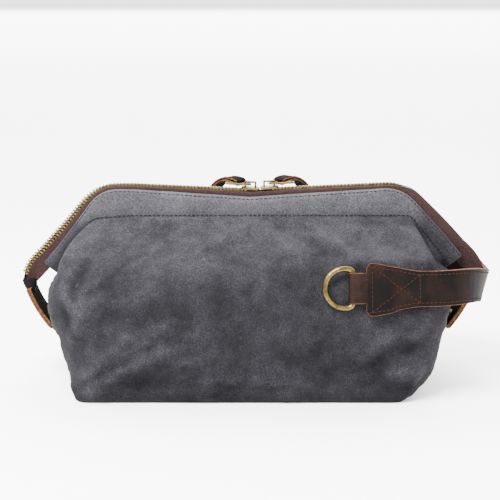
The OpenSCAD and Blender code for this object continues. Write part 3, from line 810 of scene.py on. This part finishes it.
def make_canvas(side, label, creases, inset, nodes, material):
    """One wall of the bag with its half of the ends; an inset makes the lining inside it."""
    rows = LOWER_ROWS + UPPER_ROWS + 1
    fractions = np.linspace(-1, 1, COLUMNS + 1)
    grid = np.array([[canvas_point(f, row, inset) for f in fractions] for row in range(rows)])
    normals = grid_normals(grid)
    normals *= -np.sign(normals[:, :, 1].mean())
    rub_and_shade = np.full((rows + 1, COLUMNS + 1), 0.5)
    for r in range(rows):
        for c, f in enumerate(fractions):
            x, y, z = grid[r, c]
            reach = x + 0.9 * (HALF_D + y) * np.sign(f)
            rumple = 1.5 * fractal(reach, side * 50, z, 34) + 0.45 * fractal(reach, side * 50 + 9, z, 11)
            fine = 0.18 * fractal(reach, side * 50 + 30, z, 4)
            crease = crease_height(creases, reach, z)
            vein = vein_height(reach, z, side)
            patchy = 0.5 + 0.5 * fractal(reach, side * 90, z, 12)
            # Rubbed creases with painted light and shade, for the canvas colour
            rub_and_shade[r + 1, c] = canvas_rub_and_shade(f, x, z, crease, rumple, vein, patchy)
            lift = crease + rumple + fine + 0.4 * vein
            if side < 0 and f > 0:
                lift += right_shelf(f, z)
            edge = smooth((rows - 1 - r) / 7) * smooth((1 - abs(f)) / 0.05) * smooth(r / 5)
            hold = patch_hold(x, z) if abs(f) < RIDGE_F else 0
            grid[r, c] += normals[r, c] * lift * edge * (1 - hold)
            if hold > 0:
                grid[r, c, 1] = mix(grid[r, c, 1], inset - patch_plane(z), hold * edge)
    if side > 0:
        grid = (grid * (1, -1, 1))[:, ::-1]
        rub_and_shade = rub_and_shade[:, ::-1]
    under = grid[0] * UNDER
    under[:, 2] = 0.3
    outer = np.concatenate([under[None], grid])
    inward = grid_normals(outer)
    if inward[20, COLUMNS // 2, 1] * side > 0:
        inward = -inward
    inner = outer + inward * (WALL_T if inset == 0 else LINING_T)
    inner[0] = under * (0.995, 0.99, 1) + (0, 0, 0.8)
    inner[1, :, 2] += 0.9
    name = ("canvas_" if inset == 0 else "lining_") + label
    canvas = shell(name, outer, inner, material, sharp_deg=75)
    set_rub_and_shade(canvas, np.concatenate([rub_and_shade.reshape(-1)] * 2))
    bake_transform(canvas)
    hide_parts(*nodes)


make_canvas(-1, "front", FRONT_CREASES, 0,
            ["front_panel", "front_shoulder", "left_gusset"], CANVAS)
make_canvas(1, "rear", REAR_CREASES, 0,
            ["rear_panel", "rear_shoulder", "right_gusset"], CANVAS)


def make_base():
    ring = [outline(f, BOTTOM_Z, 1.8) for f in np.linspace(-1, 1, 80)]
    ring += [p * (1, -1, 1) for p in ring[-2:0:-1]]
    rings = [[p * (1, 1, 0) + (0, 0, z) for p in ring] for z in (BOTTOM_Z, 2.0)]
    base = tube("base", rings, [CANVAS])
    set_rub_and_shade(base, [0.5] * len(base.data.vertices))
    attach(base, "bag")
    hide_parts("base_panel")


make_base()


# ---------- leather strips ----------
def strip_ring(centre, across, outward, width, thick, round_off=0.35):
    """Closed ring across a strip: outer face first, raw edges between the faces."""
    half = width / 2
    flat = half - round_off
    low, high = thick * 0.28, thick * 0.72
    profile = [(-flat, thick), (flat, thick), (half, high), (half, low),
               (flat, 0), (-flat, 0), (-half, low), (-half, high)]
    return [centre + across * a + outward * n for a, n in profile]


def strip_edge(j):
    """Material of each row of faces along a leather strip: 0 face, 1 raw edge."""
    return 0 if j in (0, 4) else 1


def flipped_edge(j):
    """The same for a strip whose rings are turned round."""
    return strip_edge((6 - j) % 8)


ANCHOR_X = 78.0
ANCHOR_END_X = 116.0
CHAPE_END_X = 90.0
CHAPE_LIFT = 2.4            # how far the loop of the D-ring lifts the handle's front end
BEND_X = 150.0
BEND_Y = 40.0
LOOP_X = 168.0
LOOP_Z = 71.0
LOOP_LEAN = 15.0
LEAVE = 0.36                # share of half the strap that is sewn down
STRAP_W = 24.0
FLARE_W = 36.0
LAYER_T = 1.8
LAYER_GAP = 0.05
STRAP_STEPS = 84
END_ROUNDING = (0.80, 0.93, 0.985)


def strap_plan(s, lift):
    """Half the strap from above: sewn down as far as LEAVE, then a curve to the loop's far side."""
    if s < LEAVE:
        x = mix(ANCHOR_X, ANCHOR_END_X, s / LEAVE)
        return vec(x, -ANCHOR_Y - lift * (1 - smooth((x - CHAPE_END_X) / 10)))
    k = (s - LEAVE) / (1 - LEAVE)
    a, b = vec(ANCHOR_END_X, -ANCHOR_Y), vec(BEND_X, -ANCHOR_Y)
    c, d = vec(LOOP_X, -BEND_Y), vec(LOOP_X, 0.0)
    return mix(bezier(a, b, c, k), bezier(b, c, d, k), k)


def strap_frame(s, side):
    """Centre of the strap's outer face, direction across it (upwards), outward direction, width."""
    lift = CHAPE_LIFT if side < 0 else 0.0
    p = strap_plan(s, lift)
    d = unit(strap_plan(s + 0.004, lift) - strap_plan(s - 0.004, lift))
    z = mix(LOOP_Z, ANCHOR_Z, smooth(abs(p[1]) / ANCHOR_Y))
    lean = math.radians(mix(-ANCHOR_LEAN, LOOP_LEAN, smooth((s - 0.3) / 0.7)))
    out = vec(d[1], -d[0], 0)
    across = out * math.sin(lean) + vec(0, 0, math.cos(lean))
    outward = out * math.cos(lean) - vec(0, 0, math.sin(lean))
    width = mix(FLARE_W, STRAP_W, smooth(s / LEAVE))
    centre = vec(p[0], p[1], z)
    flip = vec(1.0, -side, 1.0)
    return centre * flip, across * flip, outward * flip, width


def strap_stations():
    """Both halves of the strap in one run, from the front end round the loop to the rear end."""
    front = [(k / STRAP_STEPS, -1) for k in range(STRAP_STEPS)]
    return front + [(1.0, -1)] + [(s, 1) for s, _ in reversed(front)]


def strap_layer(name, depth, thick, node, face, trim):
    """One of the handle's two layers: depth is how far it lies behind the outer face."""
    rings = []
    stations = strap_stations()
    for i, (s, side) in enumerate(stations):
        centre, across, outward, width = strap_frame(s, side)
        width -= 2 * trim
        near_end = min(i, len(stations) - 1 - i)
        if near_end < len(END_ROUNDING):
            width *= END_ROUNDING[near_end]
        wave = 0.25 * fractal(centre[0], centre[1], centre[2], 20)
        ring = strip_ring(centre - outward * (depth + thick - wave), across, outward, width, thick)
        rings.append(ring[::-1])
    strap = tube(name, rings, [face, EDGE], flipped_edge)
    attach(strap, "bag")
    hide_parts(node)


strap_layer("handle_outer_skin", 0.0, LAYER_T, "handle_outer", LEATHER, 0)
strap_layer("handle_lining_skin", LAYER_T + LAYER_GAP, LAYER_T - LAYER_GAP,
            "handle_lining", LEATHER_TAB, 0.15)

SEWING_INSET = 2.6          # of the stitches from the strap's edge
SEWING_LIFT = 0.12          # of their middles above the leather
SEWING_PITCH = 3.0
BOX_START = 0.035           # of the stitched box with its cross, as shares of half the strap
BOX_END = 0.34


def strap_place(s, side, share):
    """Point on the strap's outer face, share of the way to the sewing line, and outward direction."""
    centre, across, outward, width = strap_frame(s, side)
    return centre + across * share * (width / 2 - SEWING_INSET) + outward * SEWING_LIFT, outward


def edge_sewing():
    """Stitches along both edges of the strap."""
    found = []
    stations = strap_stations()[2:-2]
    for share in (-1, 1):
        places = [strap_place(s, side, share) for s, side in stations]
        for point, direction, i, _ in along_path([place for place, _ in places], SEWING_PITCH):
            found.append((point, direction, places[i][1]))
    return found


def strap_line(start, end, side):
    """Straight line between two sewing places, laid on the strap's outer face."""
    line = []
    for k in np.linspace(0, 1, 14):
        p = mix(start, end, k)
        s = np.clip((p[0] - ANCHOR_X) / (ANCHOR_END_X - ANCHOR_X) * LEAVE, 0.01, LEAVE)
        centre, _, outward, _ = strap_frame(s, side)
        line.append(p - outward * (np.dot(p - centre, outward) - SEWING_LIFT))
    return line


def box_sewing(side):
    """Both ends of the stitched box and the cross in it."""
    low_a, high_a = [strap_place(BOX_START, side, share)[0] for share in (-1, 1)]
    low_b, high_b = [strap_place(BOX_END, side, share)[0] for share in (-1, 1)]
    facing = strap_place(0.2, side, 0)[1]
    found = []
    for start, end in ((low_a, high_a), (low_b, high_b), (low_a, high_b), (high_a, low_b)):
        for point, direction, _, _ in along_path(strap_line(start, end, side), SEWING_PITCH, 1.0, 1.0):
            found.append((point, direction, facing))
    return found


handle_places = edge_sewing() + box_sewing(-1) + box_sewing(1)
sewing = stitches("handle_stitches", handle_places, length=2.3, radius=0.42, material=THREAD)
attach(sewing, "bag")


# ---------- end tabs ----------
TAB_TOP = vec(161.5, 72.5)
TAB_BULGE = vec(157.0, 55.0)
TAB_LOW = vec(142.6, 37.6)
TAB_W = 24.0
TAB_T = 1.65
TAB_START = 0.14            # shares of the tab's curve
TAB_SEWN = (0.2, 0.93)


def tab_frame(k, side):
    """Centre of the tab's outer face, outward direction, width."""
    before, p, after = [bezier(TAB_TOP, TAB_BULGE, TAB_LOW, k + step) for step in (-0.01, 0, 0.01)]
    d = unit(after - before)
    width = TAB_W * math.sqrt(max(1 - 0.9 * (max(k - 0.9, 0) / 0.1) ** 2.4, 0.05))
    return vec(side * p[0], 0, p[1]), vec(-side * d[1], 0, d[0]), width


def tab_layer(side, label, depth, node, face, trim):
    """One of a tab's two layers: depth is how far it lies behind the outer face."""
    rings = []
    for k in np.concatenate([np.linspace(TAB_START, 0.88, 28), np.linspace(0.9, 1, 12)]):
        centre, outward, width = tab_frame(k, side)
        ring = strip_ring(centre - outward * (depth + TAB_T), vec(0, 1.0, 0), outward,
                          width - 2 * trim, TAB_T, 0.3)
        rings.append(ring if side > 0 else ring[::-1])
    tab = tube(node + "_skin", rings, [face, EDGE], strip_edge if side > 0 else flipped_edge)
    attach(tab, label + "_tab")
    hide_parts(node)


# The fold's sections down from the tape's end: centre x, z, half width along x, along y
FOLD = [(159.2, 74.0, 5.0, 2.7), (159.4, 72.0, 5.3, 3.2), (159.0, 69.5, 4.6, 4.6),
        (158.4, 67.0, 3.4, 7.2), (158.0, 64.5, 2.3, 9.6), (157.4, 62.0, 1.5, 10.6)]


def tab_fold(side, label):
    """The tab's leather folded tight round the end of the tapes."""
    rings = []
    for x, z, wide, deep in FOLD:
        rise = 3.5 * smooth((z - 62) / 12) if side > 0 else 0.0
        ring = []
        for a in np.linspace(0, 2 * math.pi, 25)[:-1]:
            c, t = math.cos(a), math.sin(a)
            spread = (abs(c) ** 3 + abs(t) ** 3) ** (-1 / 3)
            along = x + wide * c * spread + 0.4 * rise
            ring.append(vec(side * along, deep * t * spread, z + rise))
        rings.append(ring if side < 0 else ring[::-1])
    # Painted darker than the tab, as painted shade in the tight fold
    fold = tube(label + "_tab_fold", rings, [LEATHER_FOLD_SHADED], sharp_deg=70)
    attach(fold, label + "_tab")


def tab_sewing(side, label):
    places = []
    for share in (-1, 1):
        line = []
        for k in np.linspace(*TAB_SEWN, 30):
            centre, outward, width = tab_frame(k, side)
            line.append(centre + outward * 0.1 + vec(0, share * (width / 2 - 2.4), 0))
        for point, direction, i, k in along_path(line, SEWING_PITCH):
            places.append((point, direction, tab_frame(mix(*TAB_SEWN, (i + k) / 29), side)[1]))
    sewn = stitches(label + "_tab_stitches", places, length=2.2, radius=0.38, material=THREAD)
    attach(sewn, label + "_tab")


for side, label in ((-1, "left"), (1, "right")):
    tab_layer(side, label, 0.0, label + "_tab_outer", LEATHER_TAB, 0)
    tab_layer(side, label, TAB_T + LAYER_GAP, label + "_tab_lining", LEATHER_TAB, 0.1)
    tab_fold(side, label)
    tab_sewing(side, label)


# ---------- zip sliders, rings, pulls and the D-ring ----------
def paint_brass(node):
    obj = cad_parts[node]
    obj.data.materials.clear()
    obj.data.materials.append(BRASS)


PULL_T = 1.1
PULL_W = 10.4
PULL_GRIP_W = 9.0           # where it passes through the ring
PULL_L = 31.0
PULL_YAW = math.radians(40)
PULL_INWARDS = 2.0          # of its grip from the ring's middle
RING_WIRE_R = 0.7
LEG_POINTS = 20


def pull_path():
    """Points (away from the ring, up) of the folded strip: upper leg, bend round the ring, lower leg."""
    bend = RING_WIRE_R + 0.15
    path = [(t * PULL_L, bend + 0.6 * t * (1 - t)) for t in np.linspace(1, 0, LEG_POINTS)]
    for turn in np.linspace(0.15, 0.85, 7) * math.pi:
        path.append((-bend * math.sin(turn), bend * math.cos(turn)))
    path += [(t * (PULL_L - 0.8), 0.2 * t * (1 - t) - bend) for t in np.linspace(0, 1, LEG_POINTS)]
    return path


def pull_width(u):
    """Narrow at the ring, rounded at the free end."""
    width = PULL_W * math.sqrt(max(1 - 0.55 * (max(u - 26, 0) / 5) ** 3, 0.1))
    return mix(width, PULL_GRIP_W, smooth((4 - u) / 4))


def make_pull(side, label):
    """A leather strip folded round the ring's rear side and drooping to the rear and outwards."""
    low, high = box_mm(label + "_pull_ring")
    middle = (low + high) / 2
    grip = vec(middle[0] - side * PULL_INWARDS, high[1] - RING_WIRE_R, middle[2])
    away = vec(side * math.sin(PULL_YAW), math.cos(PULL_YAW), 0)
    across = vec(math.cos(PULL_YAW), -side * math.sin(PULL_YAW), 0)
    up = vec(0, 0, 1.0)
    path = pull_path()
    centres = []
    for u, v in path:
        rise = 0.42 * max(u, 0) - 0.022 * max(u, 0) ** 2
        squeeze = 1 - smooth((u - 2) / 5) * 0.62
        centres.append(grip + away * u + up * (v * squeeze + rise))
    rings = []
    for i, (centre, along) in enumerate(zip(centres, directions(centres))):
        outward = unit(np.cross(along, across)) * side
        if np.dot(outward, up if i < LEG_POINTS else -up) < 0:
            outward = -outward
        rings.append(strip_ring(centre, across, outward, pull_width(path[i][0]), PULL_T, 0.25))
    facing = np.cross(rings[0][1] - rings[0][0], rings[0][3] - rings[0][0])
    flip = np.dot(facing, centres[1] - centres[0]) > 0
    if flip:
        rings = [ring[::-1] for ring in rings]
    edge = flipped_edge if flip else strip_edge
    pull = tube(label + "_pull_leather", rings, [LEATHER_TAB, EDGE], edge)
    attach(pull, label + "_pull")
    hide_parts(label + "_zip_pull")
    places = []
    for share in (-1, 1):
        line = [centre + across * share * 3.6 + up * (PULL_T + 0.05) for centre in centres[1:15]]
        places += [(point, direction, up) for point, direction, _, _ in along_path(line, 2.8)]
    sewn = stitches(label + "_pull_stitches", places, length=2.0, radius=0.34, material=THREAD)
    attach(sewn, label + "_pull")


for side, label in ((-1, "left"), (1, "right")):
    for part in ("slider", "pull_ring", "snap_cap", "snap_socket", "snap_stud", "snap_back"):
        paint_brass(label + "_" + part)
    make_pull(side, label)


# The D-ring's straight bar lies in the chape, a loop of leather, and both lean with the wall
BAR = vec(69.5, -64.2, ANCHOR_Z)
RIGHTWARDS = vec(1.0, 0, 0)
LEAN = math.radians(ANCHOR_LEAN)
BAR_UP = vec(0, math.sin(LEAN), math.cos(LEAN))
BAR_OUT = vec(0, -math.cos(LEAN), math.sin(LEAN))
CHAPE_W = 20.6
CHAPE_T = 1.25
CHAPE_BORE = 2.25
D_WIRE_R = 1.95
D_REACH = 13.15             # from the bar's middle to each leg's
D_LEG = 6.0
D_CORNER_R = 4.5


def make_chape():
    """The loop of leather that holds the D-ring: round the bar, then flat under the handle's end."""
    path = [(t, CHAPE_BORE) for t in np.linspace(12.5, 0.5, 8)]
    for a in np.linspace(0.1, 0.9, 11) * math.pi:
        path.append((-CHAPE_BORE * math.sin(a), CHAPE_BORE * math.cos(a)))
    path += [(t, -CHAPE_BORE + 0.1) for t in np.linspace(0.5, 18, 12)]
    rings = []
    for (u, v), along in zip(path, directions(path)):
        face = RIGHTWARDS * along[1] - BAR_OUT * along[0]
        sag = v * (1 - 0.35 * smooth((u - 2) / 6)) if v > 0 else v
        centre = BAR + RIGHTWARDS * u + BAR_OUT * sag
        rings.append(strip_ring(centre, BAR_UP, face, CHAPE_W, CHAPE_T, 0.3)[::-1])
    chape = tube("ring_chape_leather", rings, [LEATHER_CHAPE, EDGE], flipped_edge)
    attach(chape, "bag")
    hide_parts("ring_chape")


def make_d_ring():
    """Round wire: the bar in the chape, rounded corners, short legs and a half circle."""
    half = [(0.0, 0.0), (0.0, (D_REACH - D_CORNER_R) / 2)]
    for a in np.linspace(0, math.pi / 2, 8):
        half.append((-D_CORNER_R * (1 - math.cos(a)), D_REACH - D_CORNER_R * (1 - math.sin(a))))
    for a in np.linspace(0, math.pi / 2, 18):
        half.append((-D_LEG - D_REACH * math.sin(a), D_REACH * math.cos(a)))
    plan = half + [(u, -v) for u, v in half[-2::-1]]
    path = [BAR + RIGHTWARDS * u + BAR_UP * v for u, v in plan]
    turns = np.linspace(0, 2 * math.pi, 15)[:-1]
    rings = []
    for centre, along in zip(path, directions(path)):
        beside = np.cross(along, BAR_OUT)
        rings.append([centre + (BAR_OUT * math.cos(a) + beside * math.sin(a)) * D_WIRE_R for a in turns])
    ring = tube("d_ring_wire", rings, [BRASS], sharp_deg=60)
    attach(ring, "d_ring")
    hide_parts("d_ring")


make_d_ring()
make_chape()
make_canvas(-1, "front", [], LINING_INSET, ["lining"], LINING)
make_canvas(1, "rear", [], LINING_INSET, [], LINING)


# ---------- studio ----------
def make_light(name, size, energy, place, target):
    data = bpy.data.lights.new(name, "AREA")
    data.shape = "RECTANGLE"
    data.size, data.size_y = size
    data.energy = energy
    light = bpy.data.objects.new(name, data)
    light.location = place
    light.rotation_euler = (Vector(target) - Vector(place)).to_track_quat("-Z", "Y").to_euler()
    bpy.context.scene.collection.objects.link(light)


make_light("key", size=(0.7, 0.5), energy=100, place=(-0.45, -0.60, 1.15), target=(0, 0, 0.05))
make_light("fill", size=(1.6, 1.0), energy=10, place=(0.9, -1.2, 0.6), target=(0, 0, 0.07))
# The far floor is lit too, so that it is about as pale as the near one
make_light("back", size=(34, 26), energy=27000, place=(0, 15, 8), target=(0, 15, 0))

world = bpy.data.worlds.new("studio")
world.use_nodes = True
set_inputs(world.node_tree.nodes["Background"], {"Color": (1, 1, 1, 1), "Strength": 3.0})
bpy.context.scene.world = world

floor_material, _, floor_shader = new_material("floor")
set_inputs(floor_shader, {"Base Color": (0.9, 0.9, 0.9, 1), "Roughness": 0.9})
bpy.ops.mesh.primitive_plane_add(size=100, location=(0, 30, 0))
floor = bpy.context.active_object
floor.name = "floor"
floor.data.materials.append(floor_material)

# The photo's angle: straight from the front, 12 degrees down, 0.85 m away
camera_data = bpy.data.cameras.new("camera")
camera_data.sensor_width = 36
camera_data.lens = 84.96
camera = bpy.data.objects.new("camera", camera_data)
camera.location = (0, -0.8314, 0.2715)
look = Vector((0, 0, 0.09475)) - camera.location
camera.rotation_euler = look.to_track_quat("-Z", "Y").to_euler()
bpy.context.scene.collection.objects.link(camera)
bpy.context.scene.camera = camera
